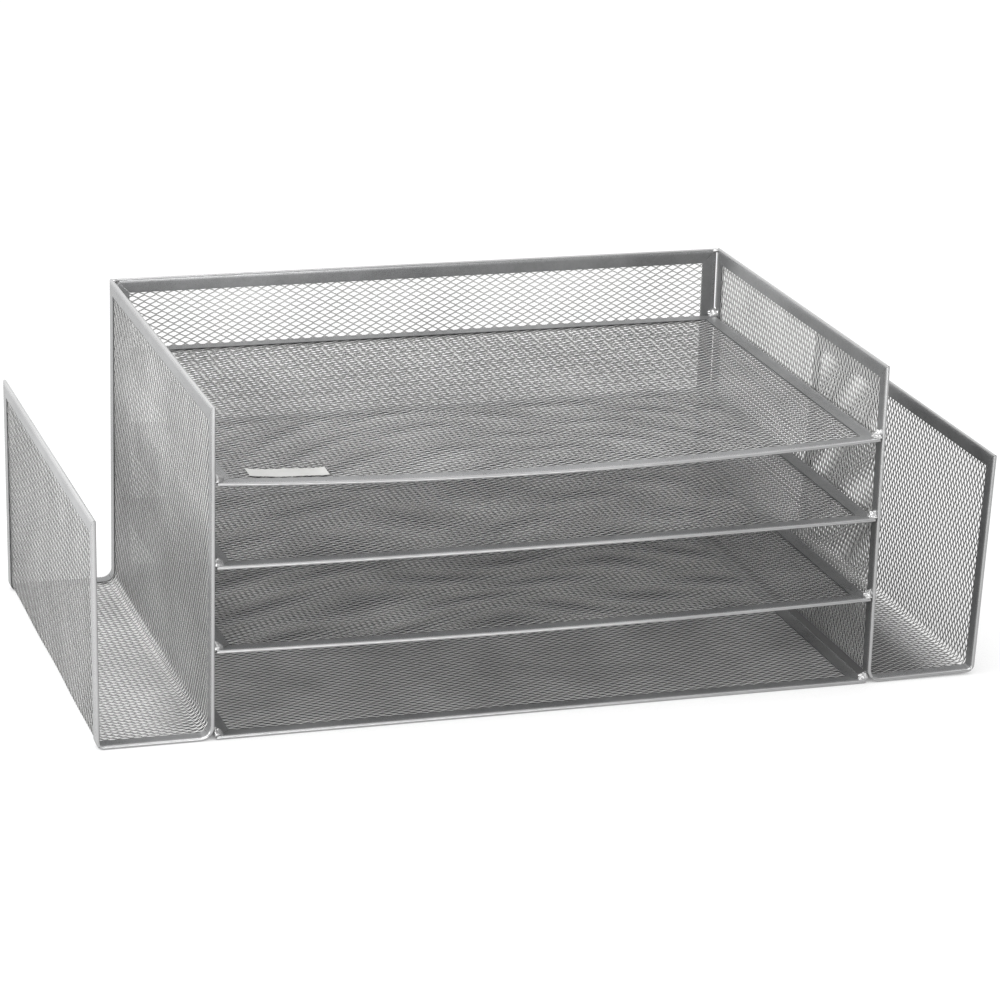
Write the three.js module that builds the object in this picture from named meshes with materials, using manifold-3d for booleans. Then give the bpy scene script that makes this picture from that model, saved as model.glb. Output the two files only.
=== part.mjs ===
// Mesh paper tray: a desk organiser of framed expanded-metal panels.
// Two long sheets are folded into a J, each a tall side wall, a pocket floor and a low pocket wall.
// A back panel, a floor and three shelves are welded between the two tall walls.
// Every panel is a net of diamonds whose edges sit in folded sheet-metal strips.
// Millimetres, +Z up, front towards -Y, origin on the desk under the middle of the whole tray.

import * as THREE from 'three';
import { mergeVertices } from 'three/addons/utils/BufferGeometryUtils.js';
import Module from 'manifold-3d';

// Overall sizes
const BAY_WIDTH = 330; // between the mid-planes of the two tall side walls
const DEPTH = 233.6; // front noses to back noses
const WALL_HEIGHT = 162.2; // tall side walls and back panel

// The four panels that carry paper: underside above the desk, and how far the front rim bows down
const LOWER_SHELF_HEIGHT = 42.7;
const LOWER_SHELF_SAG = 2.1;
const MIDDLE_SHELF_HEIGHT = 83.7;
const MIDDLE_SHELF_SAG = 1.4;
const TOP_SHELF_HEIGHT = 124.2;
const TOP_SHELF_SAG = 5.1;
const TRAYS = [
  { name: 'floor', height: 0, sag: 0 },
  { name: 'lower_shelf', height: LOWER_SHELF_HEIGHT, sag: LOWER_SHELF_SAG },
  { name: 'middle_shelf', height: MIDDLE_SHELF_HEIGHT, sag: MIDDLE_SHELF_SAG },
  { name: 'top_shelf', height: TOP_SHELF_HEIGHT, sag: TOP_SHELF_SAG },
];
const BOW_STEPS = 12;

// Side pockets: floor width, height of the pocket wall, and the spring-back angles in degrees
const LEFT_POCKET_WIDTH = 54.2;
const LEFT_POCKET_HEIGHT = 112;
const RIGHT_POCKET_WIDTH = 55.2;
const RIGHT_POCKET_HEIGHT = 113.5;
const POCKETS = [
  {
    name: 'left', side: -1, floorTilt: 0, wallLean: 0.6,
    width: LEFT_POCKET_WIDTH, height: LEFT_POCKET_HEIGHT,
  },
  {
    name: 'right', side: 1, floorTilt: 1.2, wallLean: 2.2,
    width: RIGHT_POCKET_WIDTH, height: RIGHT_POCKET_HEIGHT,
  },
];
// Bends of a side sheet, radius at its mid-line; the steps are even, so that strips meet on one
const INNER_BEND_RADIUS = 6; // tall wall to pocket floor
const INNER_BEND_STEPS = 4;
const OUTER_BEND_RADIUS = 3; // pocket floor to pocket wall
const OUTER_BEND_STEPS = 2;

// Net of expanded metal: the diamonds are drawn about eight times the real pitch of 6.2 x 3.6 mm
const DIAMOND_LONG = 52;
const DIAMOND_SHORT = 31;
const STRAND_WIDTH = 2.6;
const NET_THICKNESS = 0.7;

// Edge strips: sheet metal folded over the edge of the net
const STRIP_WIDTH = 7.5;
const STRIP_METAL = 0.4;
const SLOT_CLEARANCE = 0.2; // net to each flange
const NET_EDGE_CLEARANCE = 0.3; // net to the bottom of the slot
const NET_BORDER_OVERLAP = 0.8; // solid border of the net, hidden inside the flanges
const MITRE_CLEARANCE = 0.1;
const NOSE_STEPS = 4;
const STRIP_THICKNESS = NET_THICKNESS + 2 * (SLOT_CLEARANCE + STRIP_METAL);
const NOSE_DEPTH = STRIP_THICKNESS / 2; // rounded nose, solid down to the slot

// Fit of the panels between the walls, and the weld beads that hold them
const PANEL_CLEARANCE = 0.7;
const WELD_CLEARANCE = 0.1;
const FRONT_WELD_REACH = 4.4;
const FRONT_WELD_DEPTH = 2.4;
const FRONT_WELD_RISE = 3.8;
const FRONT_WELD_SET_BACK = 2.6;
const REAR_WELD_REACH = 5;
const REAR_WELD_RISE = 3.8;

const wasm = await Module();
wasm.setup();

const paint = {
  net: { color: 0xa4a6a6, roughness: 0.45, metalness: 0.6 },
  strip: { color: 0x9c9e9f, roughness: 0.38, metalness: 0.6 },
  weld: { color: 0xb8babb, roughness: 0.3, metalness: 0.7 },
};

// Faces: a solid is first a list of flat convex polygons in its panel's own flat frame,
// x along the panel, y across it and z out of it. They are cut where the panel is folded,
// and only then carried to their place.

function cutFaces(faces, axis, value) {
  const result = [];
  for (const face of faces) {
    const below = [];
    const above = [];
    face.forEach((point, index) => {
      const next = face[(index + 1) % face.length];
      const here = point[axis] - value;
      const there = next[axis] - value;
      if (here <= 1e-9) below.push(point);
      if (here >= -1e-9) above.push(point);
      if (Math.abs(here) > 1e-9 && Math.abs(there) > 1e-9 && here * there < 0) {
        const crossing = point.clone().lerp(next, here / (here - there));
        below.push(crossing);
        above.push(crossing);
      }
    });
    for (const part of [below, above]) {
      if (part.length > 2 && part.some((point) => Math.abs(point[axis] - value) > 1e-9)) {
        result.push(part);
      }
    }
  }
  return result;
}

function triangleArea(a, b, c) {
  return b.clone().sub(a).cross(c.clone().sub(a)).length() / 2;
}

// A polygon may have points in the middle of its edges, so its fan starts where no triangle is flat.
function fan(face) {
  let best = [];
  let bestArea = -1;
  for (let start = 0; start < face.length; start += 1) {
    const triangles = [];
    let smallest = Infinity;
    for (let step = 1; step < face.length - 1; step += 1) {
      const corner = [0, step, step + 1].map((offset) => face[(start + offset) % face.length]);
      triangles.push(corner);
      smallest = Math.min(smallest, triangleArea(...corner));
    }
    if (smallest > bestArea) {
      best = triangles;
      bestArea = smallest;
    }
  }
  return best;
}

function signedVolume(positions) {
  let volume = 0;
  for (let index = 0; index < positions.length; index += 9) {
    const a = new THREE.Vector3().fromArray(positions, index);
    const b = new THREE.Vector3().fromArray(positions, index + 3);
    const c = new THREE.Vector3().fromArray(positions, index + 6);
    volume += a.dot(b.cross(c)) / 6;
  }
  return volume;
}

// Carries the faces to their place and makes one closed mesh of them, faces pointing out.
function solid(name, faces, place, finish) {
  const triangles = faces.flatMap(fan).map((corners) => corners.map(place));
  const flatten = (list) => list.flat().flatMap((point) => point.toArray());
  let positions = flatten(triangles);
  if (signedVolume(positions) < 0) positions = flatten(triangles.map(([a, b, c]) => [a, c, b]));
  const geometry = new THREE.BufferGeometry();
  geometry.setAttribute('position', new THREE.Float32BufferAttribute(positions, 3));
  return namedMesh(name, mergeVertices(geometry, 1e-3), finish);
}

function namedMesh(name, geometry, finish) {
  geometry.computeVertexNormals();
  const mesh = new THREE.Mesh(geometry, new THREE.MeshStandardMaterial(finish));
  mesh.name = name;
  return mesh;
}

// Net: strands of three-sided section run from knuckle to knuckle, flat below and ridged on top.
// The lattice has knuckles where the sum of the two half-diamond counts is even, holes elsewhere.
// A bowed net also has a point on its rim between two knuckles.
function netFaces(length, width, bowed) {
  const border = STRIP_WIDTH - NET_BORDER_OVERLAP;
  const edge = NOSE_DEPTH + NET_EDGE_CLEARANCE;
  const low = -NET_THICKNESS / 2;
  const high = NET_THICKNESS / 2;
  const columns = 2 * Math.max(1, Math.round((length - 2 * border) / DIAMOND_LONG));
  const rows = 2 * Math.max(1, Math.round((width - 2 * border) / DIAMOND_SHORT));
  const stepX = (length - 2 * border) / columns;
  const stepY = (width - 2 * border) / rows;
  const strandRun = Math.hypot(stepX, stepY);
  const halfX = (STRAND_WIDTH / 2) * (strandRun / stepY);
  const halfY = (STRAND_WIDTH / 2) * (strandRun / stepX);
  const faces = [];
  const addLow = (points) => faces.push([...points].reverse());
  const foot = (column, row, shiftX = 0, shiftY = 0) => new THREE.Vector3(
    border + column * stepX + shiftX, border + row * stepY + shiftY, low);
  const ridge = (column, row) => foot(column, row).setZ(high);
  const flank = (start, end, from, to) => faces.push([start, end, ridge(...to), ridge(...from)]);

  function strand(from, to, direction) {
    const [column, row] = from;
    const [nextColumn, nextRow] = to;
    const right = foot(column, row, direction * halfX, 0);
    const rightEnd = foot(nextColumn, nextRow, 0, -halfY);
    const leftEnd = foot(nextColumn, nextRow, -direction * halfX, 0);
    const left = foot(column, row, 0, halfY);
    if (direction > 0) {
      addLow([right, rightEnd, leftEnd, left]);
      flank(right, rightEnd, from, to);
      flank(leftEnd, left, to, from);
    } else {
      addLow([right, left, leftEnd, rightEnd]);
      flank(rightEnd, right, to, from);
      flank(left, leftEnd, from, to);
    }
  }

  function knuckle(column, row) {
    const centre = foot(column, row);
    const feet = [
      column < columns ? foot(column, row, halfX, 0) : centre,
      row < rows ? foot(column, row, 0, halfY) : centre,
      column > 0 ? foot(column, row, -halfX, 0) : centre,
      row > 0 ? foot(column, row, 0, -halfY) : centre,
    ];
    addLow(feet.filter((point, index) => point !== centre || feet[(index + 3) % 4] !== centre));
  }

  for (let column = 0; column <= columns; column += 1) {
    for (let row = 0; row <= rows; row += 1) {
      if ((column + row) % 2) continue;
      knuckle(column, row);
      if (row === rows) continue;
      if (column < columns) strand([column, row], [column + 1, row + 1], 1);
      if (column > 0) strand([column, row], [column - 1, row + 1], -1);
    }
  }

  // The border goes round the lattice, one side after the other, seen from above.
  const sides = [
    { count: columns, half: halfX, at: (k) => [k, 0], along: [1, 0], out: [0, -1] },
    { count: rows, half: halfY, at: (k) => [columns, k], along: [0, 1], out: [1, 0] },
    { count: columns, half: halfX, at: (k) => [columns - k, rows], along: [-1, 0], out: [0, 1] },
    { count: rows, half: halfY, at: (k) => [0, rows - k], along: [0, -1], out: [-1, 0] },
  ];
  const reach = border - edge;
  const outer = (side, index, extra = 0) => foot(...side.at(index),
    side.out[0] * reach + side.along[0] * extra, side.out[1] * reach + side.along[1] * extra);
  const lift = (point) => point.clone().setZ(high);
  const rim = (start, end) => faces.push([start, end, lift(end), lift(start)]);
  sides.forEach((side, position) => {
    for (let index = 0; index < side.count; index += 2) {
      const start = foot(...side.at(index));
      const end = foot(...side.at(index + 2));
      const holeStart = foot(...side.at(index), side.along[0] * side.half, side.along[1] * side.half);
      const holeEnd = foot(...side.at(index + 2), -side.along[0] * side.half, -side.along[1] * side.half);
      const rimPoints = (bowed ? [0, 1, 2] : [0, 2]).map((offset) => outer(side, index + offset));
      addLow([end, holeEnd, holeStart, start, ...rimPoints]);
      faces.push([lift(end), lift(start), ...rimPoints.map(lift)]);
      faces.push([holeEnd, holeStart, lift(start), lift(end)]);
      rimPoints.slice(1).forEach((point, number) => rim(rimPoints[number], point));
    }
    const next = sides[(position + 1) % sides.length];
    const square = [foot(...side.at(side.count)), outer(side, side.count),
      outer(side, side.count, reach), outer(next, 0)];
    addLow(square);
    faces.push(square.map(lift));
    rim(square[1], square[2]);
    rim(square[2], square[3]);
  });
  return faces;
}

// Section of an edge strip: x is the depth behind the nose, y the height above the net's mid-plane.
function stripSection() {
  const half = STRIP_THICKNESS / 2;
  const slot = half - STRIP_METAL;
  const section = [new THREE.Vector2(STRIP_WIDTH, half)];
  for (let step = 0; step <= NOSE_STEPS; step += 1) {
    const angle = Math.PI / 2 + (Math.PI * step) / NOSE_STEPS;
    section.push(new THREE.Vector2(NOSE_DEPTH + NOSE_DEPTH * Math.cos(angle), half * Math.sin(angle)));
  }
  section.push(new THREE.Vector2(STRIP_WIDTH, -half));
  section.push(new THREE.Vector2(STRIP_WIDTH, -slot));
  section.push(new THREE.Vector2(NOSE_DEPTH, -slot));
  section.push(new THREE.Vector2(NOSE_DEPTH, slot));
  section.push(new THREE.Vector2(STRIP_WIDTH, slot));
  return section;
}

function flatPoint([x, y]) {
  return new THREE.Vector3(x, y, 0);
}

// One strip along a side of a flat panel, from start to end, with its nose on that side.
// A mitred end runs back at 45 degrees, a square end is cut straight across.
function stripFaces(start, end, inward, mitred) {
  const along = end.clone().sub(start).normalize();
  const section = stripSection();
  const pointAt = (corner, direction, isMitred, { x: depth, y: height }) => corner.clone()
    .addScaledVector(direction, MITRE_CLEARANCE + (isMitred ? depth : 0))
    .addScaledVector(inward, depth)
    .setZ(height);
  const near = section.map((point) => pointAt(start, along, mitred[0], point));
  const far = section.map((point) => pointAt(end, along.clone().negate(), mitred[1], point));
  const faces = section.map((_, index) => {
    const next = (index + 1) % section.length;
    return [near[index], far[index], far[next], near[next]];
  });
  for (const [a, b, c] of THREE.ShapeUtils.triangulateShape(section, [])) {
    faces.push([near[a], near[b], near[c]]);
    faces.push([far[c], far[b], far[a]]);
  }
  return faces;
}

// Framed panel: a net with a strip on each of its four edges, carried to their place together.
function framedPanel({ netName, length, width, strips, place, bowed = false, netCuts = [] }) {
  const cutAlong = (faces, values) => values.reduce((list, value) => cutFaces(list, 'x', value), faces);
  const group = new THREE.Group();
  group.add(solid(netName, cutAlong(netFaces(length, width, bowed), netCuts), place, paint.net));
  for (const { name, start, end, inward, mitred, cuts = [] } of strips) {
    const faces = stripFaces(flatPoint(start), flatPoint(end), flatPoint(inward), mitred);
    group.add(solid(name, cutAlong(faces, cuts), place, paint.strip));
  }
  return group;
}

function fourStrips(panel, length, width, [near, far]) {
  const mitred = [true, true];
  return [
    { name: `${panel}_${near}_strip`, start: [0, 0], end: [length, 0], inward: [0, 1], mitred },
    { name: `${panel}_right_strip`, start: [length, 0], end: [length, width], inward: [-1, 0], mitred },
    { name: `${panel}_${far}_strip`, start: [length, width], end: [0, width], inward: [0, -1], mitred },
    { name: `${panel}_left_strip`, start: [0, width], end: [0, 0], inward: [1, 0], mitred },
  ];
}

const PANEL_LENGTH = BAY_WIDTH - STRIP_THICKNESS - 2 * PANEL_CLEARANCE;
const TRAY_DEPTH = DEPTH - STRIP_THICKNESS - PANEL_CLEARANCE;

// Back panel, upright between the rear edges of the two tall walls
function backPanel() {
  return framedPanel({
    netName: 'back_panel_mesh',
    length: PANEL_LENGTH,
    width: WALL_HEIGHT,
    strips: fourStrips('back_panel', PANEL_LENGTH, WALL_HEIGHT, ['bottom', 'top']),
    place: ({ x, y, z }) => new THREE.Vector3(x - PANEL_LENGTH / 2, DEPTH - STRIP_THICKNESS / 2 + z, y),
  });
}

// Paper tray: level along its back and sides, with its front rim bowed down in the middle
function trayPanel({ name, height, sag }) {
  const bow = (x, y) => sag * (1 - (2 * x / PANEL_LENGTH - 1) ** 2) * (1 - y / TRAY_DEPTH);
  const place = ({ x, y, z }) => new THREE.Vector3(
    x - PANEL_LENGTH / 2, y, height + STRIP_THICKNESS / 2 + z - bow(x, y));
  const strips = fourStrips(name, PANEL_LENGTH, TRAY_DEPTH, ['front', 'back']);
  if (sag > 0) {
    strips[0].cuts = Array.from({ length: BOW_STEPS - 1 },
      (_, step) => (PANEL_LENGTH * (step + 1)) / BOW_STEPS);
  }
  return framedPanel({
    netName: `${name}_mesh`,
    length: PANEL_LENGTH,
    width: TRAY_DEPTH,
    strips,
    place,
    bowed: sag > 0,
  });
}

// Route of a folded side sheet in its own upright plane: from the top of the tall wall down,
// round the inner bend, out along the pocket floor, round the outer bend and up the pocket wall.
// x runs outwards from the tall wall and y upwards.
function foldedRoute({ width, height, floorTilt, wallLean }) {
  const tilt = THREE.MathUtils.degToRad(floorTilt);
  const lean = THREE.MathUtils.degToRad(wallLean);
  const innerTurn = Math.PI / 2 + tilt;
  const outerTurn = Math.PI / 2 - tilt - lean;
  const innerSetback = INNER_BEND_RADIUS * Math.tan(innerTurn / 2);
  const outerSetback = OUTER_BEND_RADIUS * Math.tan(outerTurn / 2);
  const floorHeight = STRIP_THICKNESS / 2;
  const wallRun = (height - floorHeight - width * Math.sin(tilt)) / Math.cos(lean);
  const pieces = [
    { run: WALL_HEIGHT - floorHeight - innerSetback, turn: 0 },
    { run: INNER_BEND_RADIUS * innerTurn, turn: innerTurn },
    { run: width - innerSetback - outerSetback, turn: 0 },
    { run: OUTER_BEND_RADIUS * outerTurn, turn: outerTurn },
    { run: wallRun - outerSetback, turn: 0 },
  ];
  const starts = [];
  let state = { at: 0, point: new THREE.Vector2(0, WALL_HEIGHT), heading: -Math.PI / 2 };
  for (const piece of pieces) {
    starts.push(state);
    state = advance(state, piece, piece.run);
  }
  const locate = (distance) => {
    let index = starts.length - 1;
    while (index > 0 && starts[index].at > distance) index -= 1;
    return advance(starts[index], pieces[index], distance - starts[index].at);
  };
  const bends = [[1, INNER_BEND_STEPS], [3, OUTER_BEND_STEPS]].map(([index, steps]) => (
    { start: starts[index].at, run: pieces[index].run, steps }));
  return { length: state.at, locate, bends };
}

function advance({ at, point, heading }, { run, turn }, distance) {
  const turned = (turn * distance) / run;
  const chord = turned === 0 ? distance : (2 * run * Math.sin(turned / 2)) / turn;
  const direction = heading + turned / 2;
  return {
    at: at + distance,
    point: new THREE.Vector2(point.x + chord * Math.cos(direction), point.y + chord * Math.sin(direction)),
    heading: heading + turned,
  };
}

// Side sheet: one net from the top of the tall wall to the top of the pocket wall.
// Each long edge strip is notched at the two bends, so it has a leg for each flat.
function sideSheet(pocket) {
  const { name, side } = pocket;
  const route = foldedRoute(pocket);
  const { length, bends } = route;
  const folds = bends.flatMap(({ start, run, steps }) => Array.from({ length: steps + 1 },
    (_, step) => start + (run * step) / steps));
  const [innerNotch, outerNotch] = bends.map(({ start, run }) => start + run / 2);
  const stations = [0, ...folds, length];
  const onRoute = (distance, y, z) => {
    const { point, heading } = route.locate(distance);
    const out = point.x - z * Math.sin(heading);
    return new THREE.Vector3(side * (BAY_WIDTH / 2 + out), y, point.y + z * Math.cos(heading));
  };
  const place = ({ x, y, z }) => {
    let index = 1;
    while (index < stations.length - 1 && stations[index] < x) index += 1;
    const [before, after] = [stations[index - 1], stations[index]];
    return onRoute(before, y, z).lerp(onRoute(after, y, z), (x - before) / (after - before));
  };
  const legs = [
    [`${name}_side_wall`, 0, innerNotch, [true, false]],
    [`${name}_pocket_floor`, innerNotch, outerNotch, [false, false]],
    [`${name}_pocket_wall`, outerNotch, length, [false, true]],
  ];
  const strips = legs.flatMap(([leg, from, to, mitred]) => [
    { name: `${leg}_front_strip`, start: [from, 0], end: [to, 0], inward: [0, 1], mitred },
    { name: `${leg}_back_strip`, start: [from, DEPTH], end: [to, DEPTH], inward: [0, -1], mitred },
  ]);
  for (const [wall, top, inward] of [['side_wall', 0, [1, 0]], ['pocket_wall', length, [-1, 0]]]) {
    strips.push({
      name: `${name}_${wall}_top_strip`, start: [top, 0], end: [top, DEPTH], inward, mitred: [true, true],
    });
  }
  for (const strip of strips) strip.cuts = folds;
  return framedPanel({ netName: `${name}_side_mesh`, length, width: DEPTH, strips, place, netCuts: folds });
}

function toManifold(geometry) {
  const bare = geometry.clone();
  bare.deleteAttribute('normal');
  bare.deleteAttribute('uv');
  const merged = mergeVertices(bare);
  const vertProperties = new Float32Array(merged.attributes.position.array);
  const triVerts = new Uint32Array(merged.index.array);
  return new wasm.Manifold(new wasm.Mesh({ numProp: 3, vertProperties, triVerts }));
}

// Weld bead: a lump of weld metal in the corner between a tray and a wall, cut square by both.
function weldBead(name, centre, radii, keep) {
  const lump = new THREE.SphereGeometry(1, 8, 6);
  lump.scale(radii.x, radii.y, radii.z);
  lump.translate(centre.x, centre.y, centre.z);
  const middle = keep.getCenter(new THREE.Vector3());
  const size = keep.getSize(new THREE.Vector3());
  const block = new THREE.BoxGeometry(size.x, size.y, size.z);
  block.translate(middle.x, middle.y, middle.z);
  const { vertProperties, triVerts } = toManifold(lump).intersect(toManifold(block)).getMesh();
  const geometry = new THREE.BufferGeometry();
  geometry.setAttribute('position', new THREE.BufferAttribute(vertProperties, 3));
  geometry.setIndex(new THREE.BufferAttribute(triVerts, 1));
  return namedMesh(name, geometry, paint.weld);
}

function trayWelds({ name, height }) {
  const group = new THREE.Group();
  const top = height + STRIP_THICKNESS + WELD_CLEARANCE;
  const wallFace = BAY_WIDTH / 2 - STRIP_THICKNESS / 2 - WELD_CLEARANCE;
  const backFace = DEPTH - STRIP_THICKNESS - WELD_CLEARANCE;
  for (const [word, side] of [['left', -1], ['right', 1]]) {
    const front = new THREE.Vector3(side * wallFace, FRONT_WELD_SET_BACK, top);
    const frontRadii = new THREE.Vector3(FRONT_WELD_REACH, FRONT_WELD_DEPTH, FRONT_WELD_RISE);
    const frontFar = front.clone().add(new THREE.Vector3(-side * frontRadii.x, frontRadii.y, frontRadii.z));
    const frontNear = front.clone().setY(front.y - frontRadii.y);
    group.add(weldBead(`${name}_weld_front_${word}`, front, frontRadii,
      new THREE.Box3().setFromPoints([frontNear, frontFar])));
    const rear = new THREE.Vector3(side * wallFace, backFace, top);
    const rearRadii = new THREE.Vector3(REAR_WELD_REACH, REAR_WELD_REACH, REAR_WELD_RISE);
    const rearFar = rear.clone().add(new THREE.Vector3(-side * rearRadii.x, -rearRadii.y, rearRadii.z));
    group.add(weldBead(`${name}_weld_rear_${word}`, rear, rearRadii,
      new THREE.Box3().setFromPoints([rear, rearFar])));
  }
  return group;
}

// The whole tray, set over the origin by its own outline
const tray = new THREE.Group();
tray.add(...POCKETS.map(sideSheet), backPanel(), ...TRAYS.map(trayPanel), ...TRAYS.map(trayWelds));
const outline = new THREE.Box3().setFromObject(tray);
const middle = outline.getCenter(new THREE.Vector3());
tray.position.set(-middle.x, -middle.y, -outline.min.z);

const group = new THREE.Group();
group.add(tray);

export default group;
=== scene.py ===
# %% [markdown]
# # A mesh paper tray
# This lesson dresses a desk tray that stands ready as plain solids in real size. The solids fix
# where everything is. Here each of them gets the fine form and the finish of the real thing:
# expanded steel mesh at its true pitch, folded edge strips, weld beads, and silver paint.

import math

import bpy
import numpy as np
from mathutils import Euler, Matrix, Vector


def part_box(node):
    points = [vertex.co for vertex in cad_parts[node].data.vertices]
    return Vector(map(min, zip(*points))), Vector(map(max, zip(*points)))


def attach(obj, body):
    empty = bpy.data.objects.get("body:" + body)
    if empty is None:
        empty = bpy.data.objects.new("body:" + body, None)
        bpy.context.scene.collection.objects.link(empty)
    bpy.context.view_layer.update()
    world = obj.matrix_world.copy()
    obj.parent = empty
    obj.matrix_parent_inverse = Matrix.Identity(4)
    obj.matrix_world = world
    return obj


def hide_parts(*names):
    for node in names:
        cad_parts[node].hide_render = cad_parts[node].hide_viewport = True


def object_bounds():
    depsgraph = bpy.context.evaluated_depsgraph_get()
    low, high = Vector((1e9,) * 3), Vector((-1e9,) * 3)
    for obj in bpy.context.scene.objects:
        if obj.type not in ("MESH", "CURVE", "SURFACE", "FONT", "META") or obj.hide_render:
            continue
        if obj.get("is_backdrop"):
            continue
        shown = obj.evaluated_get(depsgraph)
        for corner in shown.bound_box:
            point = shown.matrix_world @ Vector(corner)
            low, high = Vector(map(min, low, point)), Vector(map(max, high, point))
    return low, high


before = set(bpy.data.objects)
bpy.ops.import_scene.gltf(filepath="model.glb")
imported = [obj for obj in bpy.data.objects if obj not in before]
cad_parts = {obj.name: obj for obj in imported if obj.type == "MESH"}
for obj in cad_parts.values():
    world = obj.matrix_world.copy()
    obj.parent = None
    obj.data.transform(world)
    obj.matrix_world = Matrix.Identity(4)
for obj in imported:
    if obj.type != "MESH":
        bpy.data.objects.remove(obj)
cad_low, cad_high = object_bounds()
extent = [round((high - low) * 1000, 1) for low, high in zip(cad_low, cad_high)]
print("frame:", len(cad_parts), "nodes,", extent, "mm")

# %% [markdown]
# ## Camera
# The view is that of a long lens from the front left, a little above the tray. The numbers come
# from a least-squares fit of a pinhole camera to the corners of the tray, so edges fall where the
# eye expects them. A long focal length keeps the uprights nearly parallel.

# %% Set up the camera
CAMERA_PLACE = (-0.52982, -1.68820, 0.64553)
CAMERA_TURN = (71.9534, -1.5384, -17.1395)  # degrees about x, y and z
LENS_MM, SENSOR_MM = 133.516, 36.0

camera_data = bpy.data.cameras.new("studio_camera")
camera_data.lens = LENS_MM
camera_data.sensor_width = SENSOR_MM
camera_data.dof.use_dof = False
camera = bpy.data.objects.new("studio_camera", camera_data)
camera.location = CAMERA_PLACE
camera.rotation_euler = Euler([math.radians(turn) for turn in CAMERA_TURN])
bpy.context.scene.collection.objects.link(camera)
bpy.context.scene.camera = camera
print("camera:", LENS_MM, "mm lens")

# %% [markdown]
# ## Sizes
# All shapes are worked out in millimetres and turned to metres at the very end. The sizes repeat
# those of the solids. The middle of the bay's front edge is the origin of these shapes, and the
# box of one solid says where it lies in the frame.

# %% Name the sizes
MM = 0.001
BAY_WIDTH, DEPTH, WALL_HEIGHT = 330.0, 233.6, 162.2
STRIP_WIDTH, STRIP_THICKNESS, SHEET_METAL = 7.5, 1.9, 0.4  # thickness over the fold
HALF_STRIP = STRIP_THICKNESS / 2
PANEL_CLEARANCE, MITRE_CLEARANCE = 0.7, 0.1
PANEL_LENGTH = BAY_WIDTH - STRIP_THICKNESS - 2 * PANEL_CLEARANCE
TRAY_DEPTH = DEPTH - STRIP_THICKNESS - PANEL_CLEARANCE
# Height of each tray, and how far its front rim bows down in the middle
TRAYS = {"floor": (0.0, 0.0), "lower_shelf": (42.7, 2.1), "middle_shelf": (83.7, 1.4),
         "top_shelf": (124.2, 5.1)}
# Side of the tray, width of the pocket floor, height of the pocket wall, and in degrees how far
# the floor tilts up and how far the wall leans out
POCKETS = {"left": (-1, 54.2, 112.0, 0.0, 0.6), "right": (1, 55.2, 113.5, 1.2, 2.2)}
INNER_RADIUS, OUTER_RADIUS = 6.0, 3.0  # of the two bends of a side sheet

bottom_low, bottom_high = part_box("back_panel_bottom_strip")
SHIFT = np.array([(bottom_low.x + bottom_high.x) / 2 / MM, bottom_high.y / MM - DEPTH, 0.0])
print("the middle of the front edge lies at", SHIFT.round(2), "mm")

# %% [markdown]
# ## Where a flat panel goes
# Each panel starts as a flat sheet: x along it, y across it and z out of it. One function for each
# kind of panel carries any flat point to its place. The trays bow down at the front, the back
# panel stands upright, and a side sheet follows a folded route. Mesh, strips, corner dots and
# paper all go through these functions, so they stay together however a panel is bent.

# %% Carry flat points to their place
def tray_place(height, sag):
    """Level panel, lowered by sag * (1 - u^2) * (1 - v).

    u runs from -1 to 1 along the panel, and v from 0 to 1 across it.
    """
    def place(flat):
        x, y, z = flat.T
        bow = sag * (1 - (2 * x / PANEL_LENGTH - 1) ** 2) * (1 - y / TRAY_DEPTH)
        return np.stack([x - PANEL_LENGTH / 2, y, height + HALF_STRIP + z - bow], 1) + SHIFT
    return place


def back_place(flat):
    """Upright panel at the rear: flat y becomes the height and flat z points to the rear."""
    x, y, z = flat.T
    return np.stack([x - PANEL_LENGTH / 2, DEPTH - HALF_STRIP + z, y], 1) + SHIFT


def folded_route(width, height, tilt, lean):
    """Straight runs and arcs of a side sheet, and its flat length.

    Each row holds the distance at which a run starts, its x, height and heading there, and its
    turn per mm. An arc of radius r that turns by t is r * t long.
    """
    tilt, lean = math.radians(tilt), math.radians(lean)
    inner_turn, outer_turn = math.pi / 2 + tilt, math.pi / 2 - tilt - lean
    inner_setback = INNER_RADIUS * math.tan(inner_turn / 2)
    outer_setback = OUTER_RADIUS * math.tan(outer_turn / 2)
    wall_run = (height - HALF_STRIP - width * math.sin(tilt)) / math.cos(lean)
    runs = [(WALL_HEIGHT - HALF_STRIP - inner_setback, 0), (INNER_RADIUS * inner_turn, inner_turn),
            (width - inner_setback - outer_setback, 0), (OUTER_RADIUS * outer_turn, outer_turn),
            (wall_run - outer_setback, 0)]
    rows, at, x, y, heading = [], 0.0, 0.0, WALL_HEIGHT, -math.pi / 2
    for run, turn in runs:
        rows.append((at, x, y, heading, turn / run))
        chord = run if turn == 0 else 2 * run * math.sin(turn / 2) / turn
        x, y = x + chord * math.cos(heading + turn / 2), y + chord * math.sin(heading + turn / 2)
        at, heading = at + run, heading + turn
    return np.array(rows), at


def side_place(side, route):
    """Folded sheet: the point on the route, moved out along the route's normal by z.

    On an arc the heading turns evenly, so the point lies at the end of a chord.
    """
    def place(flat):
        distance, y, z = flat.T
        row = np.searchsorted(route[:, 0], distance, "right") - 1
        start, x, up, heading, bend = route[np.clip(row, 0, len(route) - 1)].T
        run = distance - start
        turn = bend * run
        chord = run * np.sinc(turn / 2 / np.pi)
        out = x + chord * np.cos(heading + turn / 2) - z * np.sin(heading + turn)
        height = up + chord * np.sin(heading + turn / 2) + z * np.cos(heading + turn)
        return np.stack([side * (BAY_WIDTH / 2 + out), y, height], 1) + SHIFT
    return place


ROUTES = {name: folded_route(*sizes[1:]) for name, sizes in POCKETS.items()}
print("side sheets are", [round(length, 1) for _, length in ROUTES.values()], "mm long when flat")

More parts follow.
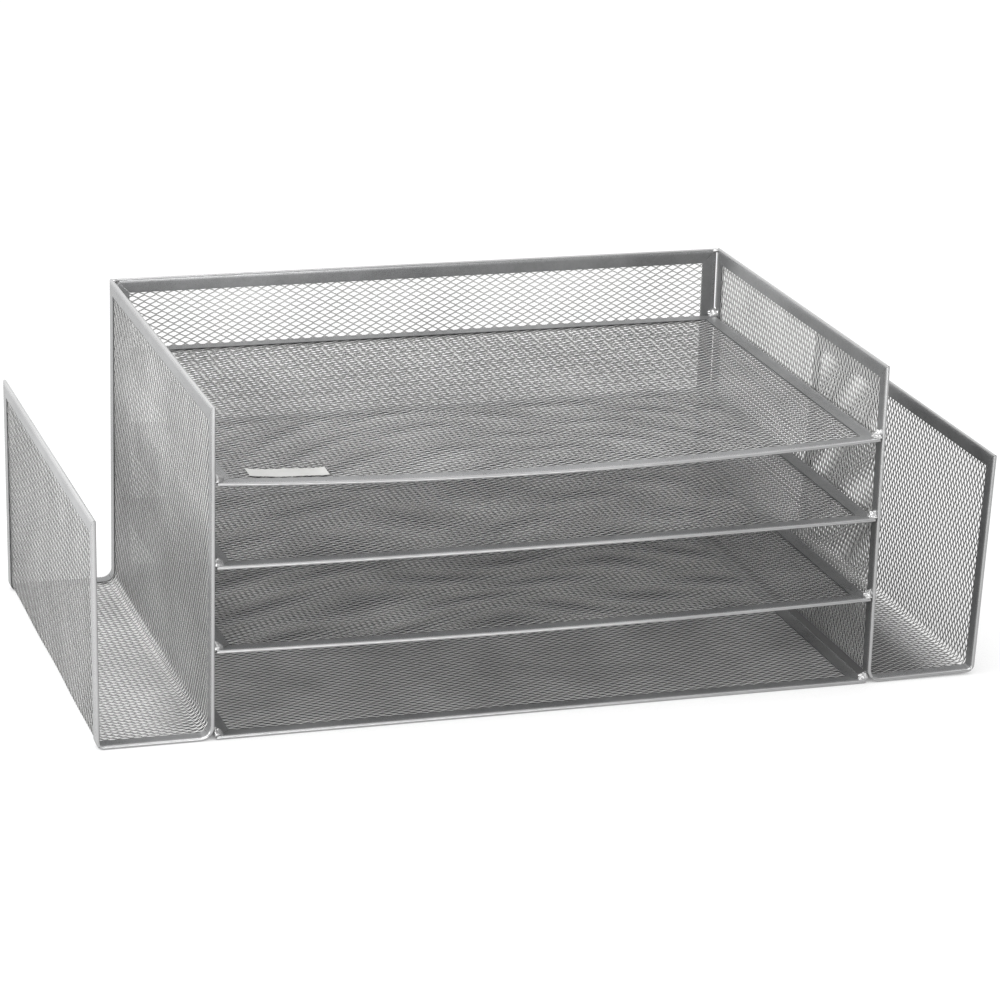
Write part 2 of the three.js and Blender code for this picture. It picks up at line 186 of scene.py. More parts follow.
# %% [markdown]
# ## Shader maths
# A finish mixes a few noises. Written as plain sums and products they stay readable, so a small
# class wraps a node's output and lets Python's own operators add the Math nodes.

# %% Wrap a node socket
class Shade:
    """An output of a node. Arithmetic on it adds Math nodes, and node() adds any other node.

    mix() goes from one colour to another by a factor, rise() carries a value smoothly from one
    span to another, and axis() takes one part of a vector.
    """

    def __init__(self, tree, socket=None):
        self.tree, self.socket = tree, socket

    def node(self, kind, settings=None, sockets=None, output=0):
        made = self.tree.nodes.new(kind)
        for key, value in (settings or {}).items():
            setattr(made, key, value)
        for key, value in (sockets or {}).items():
            if isinstance(value, Shade):
                self.tree.links.new(value.socket, made.inputs[key])
            else:
                made.inputs[key].default_value = value
        return Shade(self.tree, made.outputs[output])

    def maths(self, operation, first, second):
        return self.node("ShaderNodeMath", {"operation": operation}, {0: first, 1: second})

    def mix(self, factor, first, second):
        colours = [(*tone, 1) if isinstance(tone, tuple) else tone for tone in (first, second)]
        return self.node("ShaderNodeMix", {"data_type": "RGBA"},
                         {0: factor, 6: colours[0], 7: colours[1]}, 2)

    def rise(self, value, start, end, low, high):
        return self.node("ShaderNodeMapRange", {"interpolation_type": "SMOOTHSTEP"},
                         {0: value, 1: start, 2: end, 3: low, 4: high})

    def axis(self, vector, number):
        return self.node("ShaderNodeSeparateXYZ", None, {0: vector}, number)

    def __add__(self, other):
        return self.maths("ADD", self, other)

    def __sub__(self, other):
        return self.maths("SUBTRACT", self, other)

    def __rsub__(self, other):
        return self.maths("SUBTRACT", other, self)

    def __mul__(self, other):
        return self.maths("MULTIPLY", self, other)

    __radd__, __rmul__ = __add__, __mul__


def grain(base, vector, size_mm, detail):
    """Noise from 0 to 1 whose features are about size_mm across."""
    return base.node("ShaderNodeTexNoise", None, {
        "Vector": vector, "Scale": 1 / (size_mm * MM), "Detail": detail, "Roughness": 0.5})


# %% [markdown]
# ## Silver paint
# The steel is coated with a thin silver paint: tiny metal flakes in a clear binder. It is neither
# a mirror nor a flat grey. Flakes make the tone and the gloss flicker on a scale of a fifth of a
# millimetre, the spray leaves soft lighter and darker patches, and the coat has a faint orange
# peel. A painted highlight lightens the noses of the strips to a fine bright line and their ends a
# little, and painted shade turns the cut edges of the mesh nearly black. The nets are sprayed
# dull and the strips glossy, so the two differ in lustre.

# %% Mix the paints
# Painted light: a highlight tone for the noses and ends of the strips, and a shade tone for the
# slit walls of the mesh
HIGHLIGHT_TONE, CUT_SHADE_TONE = (0.6, 0.6, 0.6), (0.02, 0.02, 0.02)
PATCH_MM, MOTTLE_MM, FLAKE_MM = 45, 2.5, 0.18


def silver_paint(name, dark, pale, metallic, roughness, lustre, peel_mm, peel_size):
    """Tone = 1.2 patches + 0.4 mottle + 0.3 flakes - 0.45, from dark to pale.

    An attribute for the painted highlight on the noses and ends of the strips lightens it, and one
    for painted shade on the slit walls of the mesh darkens it. The gloss varies with flakes,
    patches and the painted highlight about roughness, lustre is the specular level, and the orange
    peel is a bump of peel_mm whose dents are peel_size across.
    """
    material = bpy.data.materials.new(name)
    material.use_nodes = True
    shader = material.node_tree.nodes["Principled BSDF"]
    base = Shade(material.node_tree)
    place = base.node("ShaderNodeTexCoord", output=3)
    patches = grain(base, place, PATCH_MM, 3)
    mottle = grain(base, place, MOTTLE_MM, 2)
    flakes = grain(base, place, FLAKE_MM, 1)
    painted_highlight, cut_shade = (base.node("ShaderNodeAttribute", {"attribute_name": mark}, output=2)
                 for mark in ("painted_highlight", "cut_shade"))
    tone = 1.2 * patches + 0.4 * mottle + 0.3 * flakes - 0.45
    sprayed = base.mix(tone, dark, pale)
    # Painted highlight along the noses and at the ends of the strips
    highlighted = base.mix(0.6 * painted_highlight, sprayed, HIGHLIGHT_TONE)
    # Painted shade: the slit walls of the mesh are darkened nearly to black
    colour = base.mix(0.95 * cut_shade, highlighted, CUT_SHADE_TONE)
    gloss = roughness + 0.16 * (flakes - 0.5) + 0.08 * (patches - 0.5) - 0.1 * painted_highlight
    peel = base.node("ShaderNodeBump", None, {
        "Strength": 1.0, "Distance": peel_mm * MM, "Height": grain(base, place, peel_size, 2)})
    tree = material.node_tree
    tree.links.new(colour.socket, shader.inputs["Base Color"])
    tree.links.new(gloss.socket, shader.inputs["Roughness"])
    tree.links.new(peel.socket, shader.inputs["Normal"])
    shader.inputs["Metallic"].default_value = metallic
    shader.inputs["Specular IOR Level"].default_value = lustre
    return material


NET_PAINT = silver_paint("silver_net", (0.36, 0.36, 0.356), (0.72, 0.72, 0.712),
                         metallic=0.1, roughness=0.45, lustre=0.12, peel_mm=0.02, peel_size=0.5)
STRIP_PAINT = silver_paint("silver_strip", (0.125, 0.127, 0.13), (0.295, 0.298, 0.3),
                           metallic=0.5, roughness=0.3, lustre=0.5, peel_mm=0.012, peel_size=0.9)
WELD_PAINT = silver_paint("silver_weld", (0.28, 0.28, 0.28), (0.5, 0.5, 0.5),
                          metallic=0.6, roughness=0.25, lustre=0.5, peel_mm=0.05, peel_size=0.6)
print("paints:", [m.name for m in (NET_PAINT, STRIP_PAINT, WELD_PAINT)])

# %% [markdown]
# ## From arrays to a piece
# A finished piece is points and faces as whole arrays. Most pieces here are tubes: rings of points
# one after the other, some of them closed by a pole at each end. The signed volume tells whether
# the faces look outwards, and they are turned round if they don't. Points go in as metres, and the
# object stays at the origin, so that patterns that read object coordinates lie still.

# %% Make a mesh of arrays
def signed_volume(points, faces):
    """Sum of the tetrahedra from the origin to each face, positive when faces look outwards."""
    total = 0.0
    for block in faces:
        for last in range(2, block.shape[1]):
            a, b, c = points[block[:, 0]], points[block[:, last - 1]], points[block[:, last]]
            total += np.einsum("ij,ij->i", a, np.cross(b, c)).sum() / 6
    return total


def tube(rings, count, poles=False):
    """Quads between rings of count points each, and where asked fans to the two poles.

    The poles are the two points that follow the rings.
    """
    ring, step = np.mgrid[0:rings - 1, 0:count]
    after = (step + 1) % count
    quads = np.stack([ring * count + step, (ring + 1) * count + step,
                      (ring + 1) * count + after, ring * count + after], -1).reshape(-1, 4)
    if not poles:
        return [quads]
    around = np.arange(count)
    turned = (around + 1) % count
    last, pole = (rings - 1) * count, rings * count
    return [quads, np.stack([around, turned, np.full(count, pole)], 1),
            np.stack([turned + last, around + last, np.full(count, pole + 1)], 1)]


def add_piece(name, points, faces, paint, nodes=(), smooth_below=None, marks=None):
    """A mesh piece of points in mm and blocks of faces.

    Edges flatter than smooth_below degrees are smoothed. marks are numbers on its points or faces.
    """
    if signed_volume(points, faces) < 0:
        faces = [block[:, ::-1] for block in faces]
    corners = np.concatenate([block.ravel() for block in faces])
    sizes = np.concatenate([np.full(len(block), block.shape[1]) for block in faces])
    mesh = bpy.data.meshes.new(name)
    mesh.vertices.add(len(points))
    mesh.vertices.foreach_set("co", (points * MM).astype(np.float32).ravel())
    mesh.loops.add(len(corners))
    mesh.loops.foreach_set("vertex_index", corners.astype(np.int32))
    mesh.polygons.add(len(sizes))
    mesh.polygons.foreach_set("loop_start", np.r_[0, np.cumsum(sizes)[:-1]].astype(np.int32))
    mesh.update(calc_edges=True)
    mesh.validate()
    for key, values in (marks or {}).items():
        domain = "POINT" if len(values) == len(points) else "FACE"
        data = mesh.attributes.new(key, "FLOAT", domain).data
        data.foreach_set("value", values.astype(np.float32))
    mesh.polygons.foreach_set("use_smooth", np.full(len(sizes), smooth_below is not None))
    if smooth_below is not None:
        mesh.set_sharp_from_angle(angle=math.radians(smooth_below))
    mesh.materials.append(paint)
    piece = bpy.data.objects.new(name, mesh)
    bpy.context.scene.collection.objects.link(piece)
    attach(piece, "root")
    if nodes:
        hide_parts(*nodes)


# %% [markdown]
# ## Expanded mesh
# The mesh is one sheet of steel, slit and pulled open. Each strand runs from knuckle to knuckle,
# and pulling twists it, so knuckles and strands stand at a slant like the slats of a blind. That
# slant decides whether a panel looks open or closed, and it is why the mesh is real geometry here
# and not a see-through picture on a plane. It differs with the side of the sheet that lies up. A
# knuckle is a small slanted plate with four corners. A strand joins two corners of one knuckle to
# two of the next, so the whole net is one closed skin. The walls of the slits are raw cut edges.
# Those faces are marked and given painted shade, nearly black, which draws every strand.

# %% Weave the expanded mesh
DIAMOND_LONG, DIAMOND_SHORT = 6.17, 3.6
BOND_LONG, BOND_TALL, STRAND_METAL = 0.62, 1.1, 0.32  # a knuckle's two widths and its metal
NET_INSET = 2.2  # at least, from the edge of the sheet to the last knuckles, inside the strips
RIPPLE_HEIGHT = 0.35  # how far a sheet is out of flat at most
SLANTS = {"floor": 14, "shelf": -4, "back_panel": 0, "left": 2, "right": -10}  # in degrees
KNUCKLE_SIDES = ((1, 1), (-1, 1), (-1, -1), (1, -1))


def expanded_net(length, width, slant, ripple):
    """Flat points, quads, and which of the quads are slit walls, to be given painted shade.

    Knuckles sit where column + row of the half diamonds is even. Each has four corners on either
    side of the metal. The sheet ripples by sin(x / 23) sin(y / 17), which fades at its edges, and
    the number ripple shifts those waves.
    """
    half_long, half_short = DIAMOND_LONG / 2, DIAMOND_SHORT / 2
    columns = int((length / 2 - NET_INSET) / half_long)
    rows = int((width / 2 - NET_INSET) / half_short)
    column, row = np.mgrid[-columns:columns + 1, -rows:rows + 1]
    knuckle = (column + row) % 2 == 0
    number = np.full((2 * columns + 3, 2 * rows + 3), -1)
    number[1:-1, 1:-1][knuckle] = np.arange(knuckle.sum())
    column, row = column[knuckle], row[knuckle]

    rise = BOND_TALL / 2 * math.tan(slant)
    corner = np.array([(BOND_LONG / 2, 0, 0), (0, BOND_TALL / 2, rise), (-BOND_LONG / 2, 0, 0),
                       (0, -BOND_TALL / 2, -rise)])
    across = np.array([0, -math.sin(slant), math.cos(slant)]) * STRAND_METAL / 2
    centre = np.stack([length / 2 + column * half_long, width / 2 + row * half_short,
                       0 * column], 1)
    points = centre[:, None, None] + corner[None, None] + np.array([across, -across])[None, :, None]
    points = points.reshape(-1, 3)
    fade = np.sin(np.pi * points[:, 0] / length) * np.sin(np.pi * points[:, 1] / width)
    wave = np.sin(points[:, 0] / 23 + ripple) * np.sin(points[:, 1] / 17 + 2 * ripple)
    points[:, 2] += RIPPLE_HEIGHT * fade * wave

    def at(numbers, layer, place):
        return numbers * 8 + layer * 4 + place % 4

    def wall(start, start_place, end, end_place):
        return np.stack([at(start, 1, start_place), at(end, 1, end_place),
                         at(end, 0, end_place), at(start, 0, start_place)], 1)

    here = np.arange(len(column))
    faces = [np.stack([at(here, 0, place) for place in range(4)], 1),
             np.stack([at(here, 1, 3 - place) for place in range(4)], 1)]
    edges = []
    for place, (right, up) in enumerate(KNUCKLE_SIDES):
        other = number[column + columns + 1 + right, row + rows + 1 + up]
        end = other < 0
        edges.append(wall(here[end], place, here[end], place + 1))
        if up > 0:
            near, far = here[~end], other[~end]
            ring = [(near, place), (far, place + 3), (far, place + 2), (near, place + 1)]
            faces.append(np.stack([at(knuckles, 0, where) for knuckles, where in ring], 1))
            faces.append(np.stack([at(knuckles, 1, where) for knuckles, where in ring[::-1]], 1))
            edges.append(wall(near, place, far, place + 3))
            edges.append(wall(far, place + 2, near, place + 1))
    quads = np.concatenate(faces + edges)
    return points, quads, np.arange(len(quads)) >= sum(len(block) for block in faces)


def add_net(name, length, width, place, slant, ripple):
    """One net in its place. It stands for the solid net of its panel."""
    # The slit walls are marked for painted shade
    points, quads, cut_shade = expanded_net(length, width, math.radians(SLANTS[slant]), ripple)
    add_piece(name + "_net", place(points), [quads], NET_PAINT, [name + "_mesh"],
              marks={"cut_shade": cut_shade})
    print(name, "net:", 2 * len(quads), "triangles")


for ripple, (name, (height, sag)) in enumerate(TRAYS.items()):
    add_net(name, PANEL_LENGTH, TRAY_DEPTH, tray_place(height, sag),
            "shelf" if sag else "floor", ripple)
add_net("back_panel", PANEL_LENGTH, WALL_HEIGHT, back_place, "back_panel", ripple=4.4)
for name, (side, *_) in POCKETS.items():
    route, length = ROUTES[name]
    add_net(name + "_side", length, DEPTH, side_place(side, route), name, 5 + side)

# %% [markdown]
# ## Edge strips
# Every cut edge of the mesh sits in a strip of thin sheet metal folded over it. The fold leaves a
# round nose, and the press closes the two flanges onto the mesh, so they lean in a little. The
# strip is a folded outline carried along the edge. At a corner the outline is cut at 45 degrees,
# which one rule gives: the deeper a point lies behind the nose, the later it starts.

# %% Fold the edge strips
NOSE_STEPS = 10
FLANGE_PINCH = 0.14  # how far a flange leans in at its tip
HIGHLIGHT_DEPTH = 1.6  # depth behind the nose at which the painted highlight ends
END_HIGHLIGHT_BAND = 0.35  # band along a cut end where a highlight is painted
BOW_STATIONS = 50  # along a rim that bows, less three at either end for the mitres


def fold_outline():
    """Closed outline, outer skin then inner skin.

    Its two columns are the depth behind the nose and the height over the mesh.
    """
    angle = np.linspace(np.pi / 2, 3 * np.pi / 2, NOSE_STEPS + 1)
    depth = STRIP_WIDTH * np.array([1, 0.66, 0.33])
    lean = FLANGE_PINCH * (depth / STRIP_WIDTH) ** 1.5
    skins = []
    for half in (HALF_STRIP, HALF_STRIP - SHEET_METAL):
        flange = np.stack([depth, half - lean], 1)
        nose = np.stack([HALF_STRIP + half * np.cos(angle), half * np.sin(angle)], 1)
        skins.append(np.concatenate([flange, nose, flange[::-1] * (1, -1)]))
    return np.concatenate([skins[0], skins[1][::-1]])


def add_strip(node, start, end, inward, mitred, place, stations=()):
    """The outline carried from start to end, with a ring at each station.

    A mitred end starts later by the depth of each point. A square one is 0 in mitred, not 1.
    """
    outline = fold_outline()
    count = len(outline)
    depth, height = outline.T
    start, end, inward = (np.array(v, float) for v in (start, end, inward))
    length = np.linalg.norm(end - start)
    along = (end - start) / length
    near = MITRE_CLEARANCE + mitred[0] * depth
    far = length - MITRE_CLEARANCE - mitred[1] * depth
    middle = [np.full(count, station) for station in sorted(stations)]
    distance = np.stack([near, near + END_HIGHLIGHT_BAND, *middle, far - END_HIGHLIGHT_BAND, far])
    flat = start + distance[..., None] * along + depth[:, None] * inward
    points = np.concatenate([flat, np.broadcast_to(height[:, None], flat.shape[:2] + (1,))], 2)

    rung = np.arange(count // 2 - 1)
    cap = np.stack([rung, rung + 1, count - 2 - rung, count - 1 - rung], 1)
    far_cap = cap[:, ::-1] + (len(distance) - 1) * count
    # Painted highlight: full on the nose, fading out behind it, and at least half at both ends
    painted_highlight = np.tile(np.clip(1 - depth / HIGHLIGHT_DEPTH, 0, 1), (len(distance), 1))
    painted_highlight[[0, -1]] = np.maximum(painted_highlight[[0, -1]], 0.5)
    add_piece(node.replace("_strip", "_edging"), place(points.reshape(-1, 3)),
              tube(len(distance), count) + [cap, far_cap], STRIP_PAINT, [node],
              smooth_below=35, marks={"painted_highlight": painted_highlight.ravel()})


def add_frame(panel, length, width, place, ends, bowed=False):
    """Four mitred strips round a panel."""
    near, far = ends
    bow = np.linspace(0, length, BOW_STATIONS)[3:-3] if bowed else ()
    both = (True, True)
    add_strip(f"{panel}_{near}_strip", (0, 0), (length, 0), (0, 1), both, place, bow)
    add_strip(f"{panel}_right_strip", (length, 0), (length, width), (-1, 0), both, place)
    add_strip(f"{panel}_{far}_strip", (length, width), (0, width), (0, -1), both, place)
    add_strip(f"{panel}_left_strip", (0, width), (0, 0), (1, 0), both, place)


for name, (height, sag) in TRAYS.items():
    add_frame(name, PANEL_LENGTH, TRAY_DEPTH, tray_place(height, sag), ("front", "back"), sag > 0)
add_frame("back_panel", PANEL_LENGTH, WALL_HEIGHT, back_place, ("bottom", "top"))
print("panels framed:", len(TRAYS) + 1)

# %% [markdown]
# The long strips of a side sheet are folded with it. At each bend the strip is notched, so it is
# three legs that meet in the middle of the two bends, each following half of the arc. They are the
# strips from above, with stations close together on the arcs, so the same function draws them.

# %% Strip the folded sheets
BEND_STEP = 0.6  # mm along an arc

for name, (side, *_) in POCKETS.items():
    route, length = ROUTES[name]
    place = side_place(side, route)
    starts = route[:, 0]
    arcs = np.concatenate([np.arange(starts[1], starts[2], BEND_STEP), [starts[2]],
                           np.arange(starts[3], starts[4], BEND_STEP), [starts[4]]])
    notches = (starts[1] + starts[2]) / 2, (starts[3] + starts[4]) / 2
    legs = [("side_wall", 0, notches[0], (1, 0)), ("pocket_floor", notches[0], notches[1], (0, 0)),
            ("pocket_wall", notches[1], length, (0, 1))]
    for leg, begin, stop, mitred in legs:
        inside = arcs[(arcs > begin + BEND_STEP) & (arcs < stop - BEND_STEP)] - begin
        for word, y, inward in (("front", 0, (0, 1)), ("back", DEPTH, (0, -1))):
            add_strip(f"{name}_{leg}_{word}_strip", (begin, y), (stop, y), inward, mitred,
                      place, inside)
    for wall, top, inward in (("side_wall", 0, (1, 0)), ("pocket_wall", length, (-1, 0))):
        add_strip(f"{name}_{wall}_top_strip", (top, 0), (top, DEPTH), inward, (True, True), place)
print("side sheets edged:", len(POCKETS))

# %% [markdown]
# ## Weld beads
# The trays are welded to the walls at their corners. A bead is a lump that froze as it flowed: a
# quarter of an egg between wall and tray, thin at its ends, with a few waves over it. It could be
# sculpted, but at this size one formula is enough, and a seed makes neighbours differ a little.

# %% Drop the weld beads
WELD_STEPS, WELD_RINGS = 15, 21
FRONT_WELD = (4.2, 2.4, 3.7)  # reach over the tray, half length, and rise up the wall
REAR_WELD = (4.6, 4.6, 3.5)
FRONT_WELD_AT = 2.6  # middle of a front bead behind the front rim


def weld_bead(corner, out, along, up, reach, length, rise, from_middle, seed):
    """Quarter egg on the corner line: radius sqrt(1 - v^2) at v along the bead, with low waves.

    A front bead runs from v = -1 to 1, and a rear one from its middle, v = 0, to 1.
    """
    u = np.linspace(0, np.pi / 2, WELD_STEPS)
    v = np.linspace(0 if from_middle else -1, 1, WELD_RINGS)
    v, u = np.meshgrid(v, u, indexing="ij")
    wave = (1 + 0.12 * np.sin(6 * u + seed) * np.cos(5 * v + 2 * seed)
            + 0.06 * np.sin(13 * u - 9 * v + 3 * seed))
    size = np.sqrt(np.clip(1 - v ** 2, 0, 1)) * wave
    fan = (reach * np.cos(u) * size)[..., None] * out + (rise * np.sin(u) * size)[..., None] * up
    line = (length * v)[..., None] * along
    rings = np.concatenate([line[:, :1], fan + line], 1) + corner
    poles = np.stack([corner + along * length * v[0, 0], corner + along * length])
    return np.concatenate([rings.reshape(-1, 3), poles]), tube(WELD_RINGS, WELD_STEPS + 1, True)


RIGHT, REAR, UP = np.eye(3)
WELD_ENDS = {"front": (FRONT_WELD_AT, REAR, FRONT_WELD, 1),
             "rear": (DEPTH - STRIP_THICKNESS, -REAR, REAR_WELD, -1)}
for number, (name, (height, _)) in enumerate(TRAYS.items()):
    for word, side in (("left", -1), ("right", 1)):
        for end, (y, along, size, sign) in WELD_ENDS.items():
            corner = np.array([side * (BAY_WIDTH / 2 - HALF_STRIP), y, height + STRIP_THICKNESS])
            points, faces = weld_bead(corner + SHIFT, -side * RIGHT, along, UP, *size,
                                      end == "rear", number + sign * side)
            add_piece(f"{name}_bead_{end}_{word}", points, faces, WELD_PAINT,
                      [f"{name}_weld_{end}_{word}"], smooth_below=60)
print("weld beads:", len(TRAYS) * 2 * len(WELD_ENDS))

# %% [markdown]
# ## Corner beads
# A dot of weld closes every upper corner of the walls, where two noses meet at the mitre. At the
# rear the dot also ties the wall to the back panel, so it is wider there. Each is a ball with a
# few low lumps.

# %% Dot the upper corners
BALL_TURNS, BALL_LEVELS = 18, 11


def lumpy_ball(centre, radii, seed):
    """Ball, wider by 1 + 0.1 sin(3a + seed) sin(2b) at turn a and angle b from its top."""
    a, b = np.meshgrid(np.arange(BALL_TURNS) * 2 * np.pi / BALL_TURNS,
                       np.arange(1, BALL_LEVELS) * np.pi / BALL_LEVELS)
    size = (1 + 0.1 * np.sin(3 * a + seed) * np.sin(2 * b)) * np.sin(b)
    unit = np.stack([size * np.cos(a), size * np.sin(a), np.cos(b)], -1).reshape(-1, 3)
    points = np.concatenate([unit, [(0, 0, 1), (0, 0, -1)]]) * radii + centre
    return points, tube(BALL_LEVELS - 1, BALL_TURNS, True)


beads = {}
for name, (side, *_) in POCKETS.items():
    route, length = ROUTES[name]
    # The middles of the dots, a little in from the corners of the flat sheet
    front, rear, outer_front, outer_rear = side_place(side, route)(np.array([
        (1.1, 1.2, 0), (1.0, DEPTH - 1.4, 0),
        (length - 1.1, 1.2, 0), (length - 1.1, DEPTH - 1.2, 0)]))
    beads[f"{name}_corner_bead_front"] = (front, (0.95, 1.1, 1.05))
    beads[f"{name}_corner_bead_rear"] = (rear - (side * 1.6, 0, 0), (2.5, 1.3, 0.95))
    beads[f"{name}_pocket_bead_front"] = (outer_front, (0.9, 1.1, 1.0))
    beads[f"{name}_pocket_bead_rear"] = (outer_rear, (0.9, 1.1, 1.0))
for seed, (name, (centre, radii)) in enumerate(beads.items()):
    points, faces = lumpy_ball(centre, radii, seed)
    add_piece(name, points, faces, WELD_PAINT, smooth_below=60)
print("corner beads:", len(beads))

# %% [markdown]
# ## Paper strip
# A small bare strip of pale paper lies on the top shelf just behind its front strip. Paper has no
# gloss, shows faint fibres, and never lies quite flat: its ends lift and its middle follows the
# mesh in low waves.

# %% Lay the paper strip
PAPER_START, PAPER_SIZE = (17.4, 9.2), (38.0, 10.6)
PAPER_LIFT, PAPER_THICKNESS = 0.75, 0.12  # the lift is from the middle of the mesh
PAPER_GRID = (60, 14)
PAPER_DARK, PAPER_PALE = (0.42, 0.42, 0.41), (0.6, 0.6, 0.588)


def paper_paint():
    """Off-white with fibres: a fine noise stretched along x."""
    material = bpy.data.materials.new("bare_paper")
    material.use_nodes = True
    tree = material.node_tree
    shader = tree.nodes["Principled BSDF"]
    base = Shade(tree)
    place = base.node("ShaderNodeTexCoord", output=3)
    stretched = base.node("ShaderNodeVectorMath", {"operation": "MULTIPLY"},
                          {0: place, 1: (0.3, 1, 1)})
    fibres = grain(base, stretched, 0.4, 3)
    stains = grain(base, place, 6, 2)
    colour = base.mix(0.6 * fibres + 0.4 * stains, PAPER_DARK, PAPER_PALE)
    rough = base.node("ShaderNodeBump", None, {
        "Strength": 1.0, "Distance": 0.01 * MM, "Height": fibres})
    tree.links.new(colour.socket, shader.inputs["Base Color"])
    tree.links.new(rough.socket, shader.inputs["Normal"])
    shader.inputs["Roughness"].default_value = 0.75
    return material


def thin_sheet(columns, rows):
    """Top and bottom of a grid of columns by rows, and the four edges between them, as quads."""
    number = np.arange(columns * rows).reshape(columns, rows)
    a, b, c, d = number[:-1, :-1], number[1:, :-1], number[1:, 1:], number[:-1, 1:]
    top = np.stack([a, b, c, d], -1).reshape(-1, 4)
    rim = np.concatenate([number[:-1, 0], number[-1, :-1], number[:0:-1, -1], number[0, :0:-1]])
    after = np.roll(rim, -1)
    below = columns * rows
    return [top, top[:, ::-1] + below, np.stack([rim, rim + below, after + below, after], 1)]


across, deep = np.meshgrid(*(np.linspace(0, 1, count) for count in PAPER_GRID), indexing="ij")
curl = 0.5 * np.abs(2 * across - 1) ** 5 + 0.12 * np.sin(11 * across + 2 * deep) + 0.25 * deep ** 2
sheet = np.stack([PAPER_START[0] + PAPER_SIZE[0] * across, PAPER_START[1] + PAPER_SIZE[1] * deep,
                  PAPER_LIFT + curl], -1).reshape(-1, 3)
paper = np.concatenate([sheet + (0, 0, PAPER_THICKNESS), sheet])
add_piece("bare_paper_strip", tray_place(*TRAYS["top_shelf"])(paper), thin_sheet(*PAPER_GRID),
          paper_paint(), smooth_below=40)
print("paper strip:", PAPER_SIZE, "mm")

# %% [markdown]
# ## Floor and light
# The tray stands on a plain pale floor. The camera sees floor and surroundings white. Reflections
# see them white too, but dimmer towards the front, so that a glossy strip has a dark side. The
# floor keeps the shadow of the tray: it darkens in corners, and it lies dark under the trays and
# behind them, where the shadow fades within half a metre. The gaps of the mesh show that dark.

# %% Lay the floor
FLOOR_REACH, FLOOR_DROP = 12.0, 0.00005
floor_corners = [(x * FLOOR_REACH, y * FLOOR_REACH, -FLOOR_DROP)
                 for x, y in ((-1, -1), (1, -1), (1, 1), (-1, 1))]
floor_mesh = bpy.data.meshes.new("studio_floor")
floor_mesh.from_pydata(floor_corners, [], [(0, 1, 2, 3)])
floor = bpy.data.objects.new("studio_floor", floor_mesh)
bpy.context.scene.collection.objects.link(floor)
floor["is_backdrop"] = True


def seen_white(base):
    """1 for rays from the camera, from glossy and from clear surfaces, else 0."""
    camera_ray, glossy_ray, clear_ray = (base.node("ShaderNodeLightPath", output=name) for name in
                                         ("Is Camera Ray", "Is Glossy Ray", "Is Transmission Ray"))
    return base.node("ShaderNodeMath", {"operation": "ADD", "use_clamp": True},
                     {0: camera_ray + glossy_ray, 1: clear_ray})


# The dark ground, in metres: it starts just behind the front rim. Behind the tray it leans to the
# right, as a shadow cast from the left does, and its firm sides grow soft. outside is 0 within it
# and 1 beyond its edge. An edge of firmness f is 1 / f wide.
FRONT_LIMIT, LEFT_LIMIT, RIGHT_LIMIT, FADE_START = -0.105, -0.18, 0.22, 0.22
FRONT_FIRMNESS, SIDE_FIRMNESS, FADE_FIRMNESS = 80, 33, 3
LEFT_SLOPE, RIGHT_SLOPE = 0.2, 0.3
LEAN_START, SOFTENING = 0.1, 8
DARKEST = 0.05
FLOOR_TONE, FLOOR_WHITE = (0.14, 0.14, 0.14, 1), (0.94, 0.94, 0.94)
CORNER_REACH = 0.12  # how near a thing has to be to darken the floor

floor_material = bpy.data.materials.new("pale_floor")
floor_material.use_nodes = True
floor_tree = floor_material.node_tree
floor_base = Shade(floor_tree)
floor_shader = floor_tree.nodes["Principled BSDF"]
floor_shader.inputs["Base Color"].default_value = FLOOR_TONE
floor_shader.inputs["Roughness"].default_value = 0.9
floor_shader.inputs["Specular IOR Level"].default_value = 0.0
floor_shader.inputs["Emission Strength"].default_value = 1.0
open_sky = floor_base.node("ShaderNodeAmbientOcclusion", {"samples": 4},
                           {"Distance": CORNER_REACH}, 1)
spot = floor_base.node("ShaderNodeTexCoord", output=3)
along_x, along_y = (floor_base.axis(spot, number) for number in (0, 1))
beyond = floor_base.maths("MAXIMUM", along_y - LEAN_START, 0)
firm = floor_base.maths("DIVIDE", SIDE_FIRMNESS, 1 + SOFTENING * beyond)
outside = 1 - firm * (along_x - LEFT_SLOPE * along_y - LEFT_LIMIT)
for limit in (1 - firm * (RIGHT_LIMIT + RIGHT_SLOPE * beyond - along_x),
              FRONT_FIRMNESS * (FRONT_LIMIT - along_y), FADE_FIRMNESS * (along_y - FADE_START)):
    outside = floor_base.maths("MAXIMUM", outside, limit)
shade = floor_base.rise(outside, 0.0, 1.0, DARKEST, 1.0)
corner_shade = 0.35 + 0.65 * floor_base.maths("POWER", open_sky, 0.5)
lift = floor_base.mix(seen_white(floor_base) * shade * corner_shade, (0, 0, 0), FLOOR_WHITE)
floor_tree.links.new(lift.socket, floor_shader.inputs["Emission Color"])
floor_mesh.materials.append(floor_material)
print("floor:", FLOOR_REACH * 2, "m wide")

# %% [markdown]
# ## Lamps
# A wide light from above gives the tops their tone. A softbox on the left brightens the outer
# faces of the left walls, and the mesh it shines through keeps the inner faces darker. A faint
# front light and a low card draw the bright lines along the noses of the strips and reach into the
# bays. All of them together light a colour about as it is written.

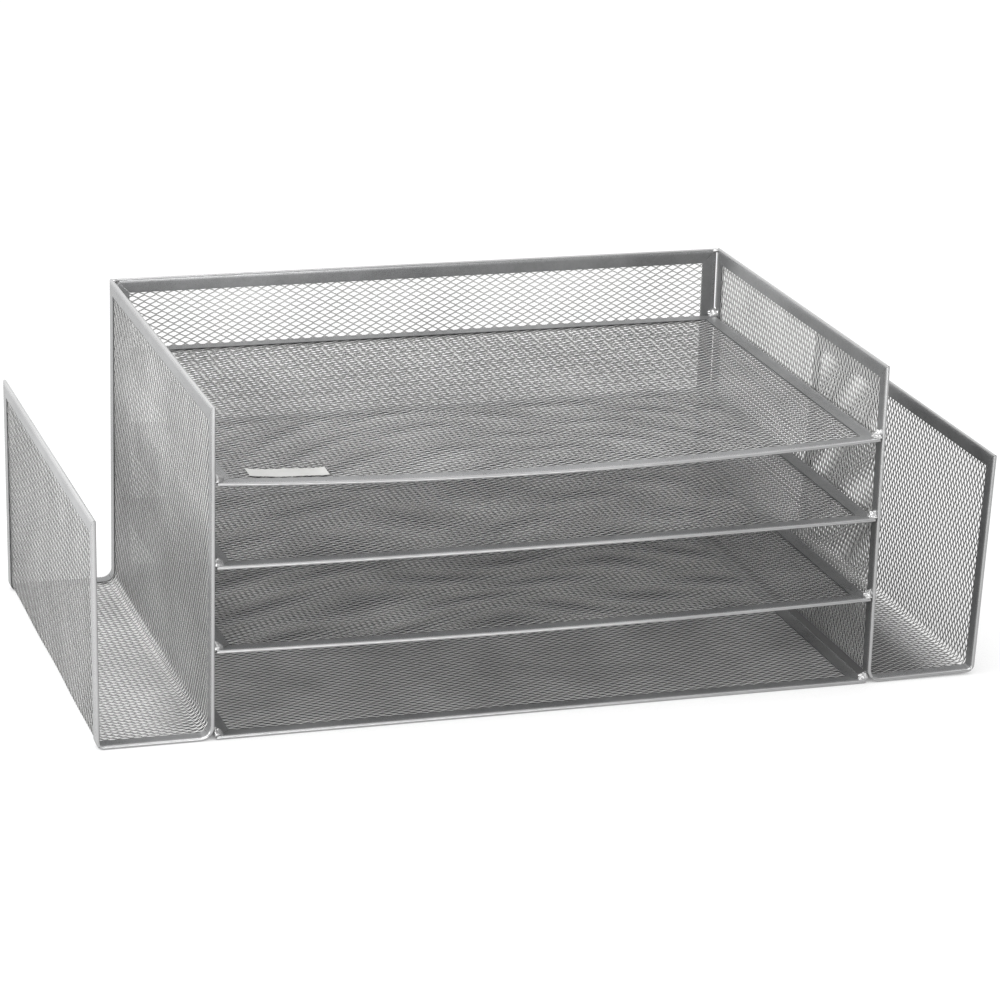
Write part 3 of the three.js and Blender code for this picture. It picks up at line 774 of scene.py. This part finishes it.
# %% Hang the lights
SKY_TONE = (0.08, 0.08, 0.08)  # what lights the tray evenly, beside the lamps
FRONT_REFLECTED = 0.12  # what a reflection sees towards the front, where 1 is white

world = bpy.data.worlds.new("studio_sky")
bpy.context.scene.world = world
world.use_nodes = True
sky = Shade(world.node_tree)
direction = sky.node("ShaderNodeTexCoord")
behind = sky.rise(sky.axis(direction, 1), -0.7, 0.3, FRONT_REFLECTED, 1.0)
overhead = sky.rise(sky.axis(direction, 2), 0.3, 0.75, 0.0, 1.0)
seen = sky.maths("MAXIMUM", behind, overhead)
seen = sky.maths("MAXIMUM", seen, sky.node("ShaderNodeLightPath", output="Is Camera Ray"))
backdrop = sky.node("ShaderNodeCombineColor", None, {0: seen, 1: seen, 2: seen})
sky_colour = sky.mix(seen_white(sky), SKY_TONE, backdrop)
world.node_tree.links.new(sky_colour.socket, world.node_tree.nodes["Background"].inputs["Color"])


def add_light(name, kind, energy, place, aim):
    """A lamp at place whose light travels towards aim, both in metres."""
    data = bpy.data.lights.new(name, kind)
    data.energy = energy
    lamp = bpy.data.objects.new(name, data)
    lamp.location = place
    lamp.rotation_euler = (Vector(place) - Vector(aim)).to_track_quat("Z", "Y").to_euler()
    bpy.context.scene.collection.objects.link(lamp)
    return data


add_light("softbox", "AREA", 5.3, (-0.62, -0.12, 0.32), (0, 0, 0.08)).size = 0.4
add_light("top_light", "SUN", 2.75, (-0.15, -0.08, 0.97), (0, 0, 0)).angle = math.radians(40)
add_light("front_light", "SUN", 0.55, (-0.15, -0.75, 0.5), (0, 0, 0)).angle = math.radians(50)
low_card = add_light("low_card", "AREA", 1.2, (-0.05, -0.6, 0.08), (0, 0, 0.05))
low_card.shape, low_card.size, low_card.size_y = "RECTANGLE", 0.5, 0.08
bpy.context.scene.view_settings.view_transform = "Standard"
print("lamps:", [lamp.name for lamp in bpy.data.lights])

# %% [markdown]
# The finish may not make the tray bigger than its solids, because other models are placed by them.
# So the box around everything is measured again and written beside the first one.

# %% Measure and finish
new_low, new_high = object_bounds()
growth = (*(cad_low - new_low), *(new_high - cad_high))
print("grown by", [round(float(x) / MM, 2) for x in growth], "mm")
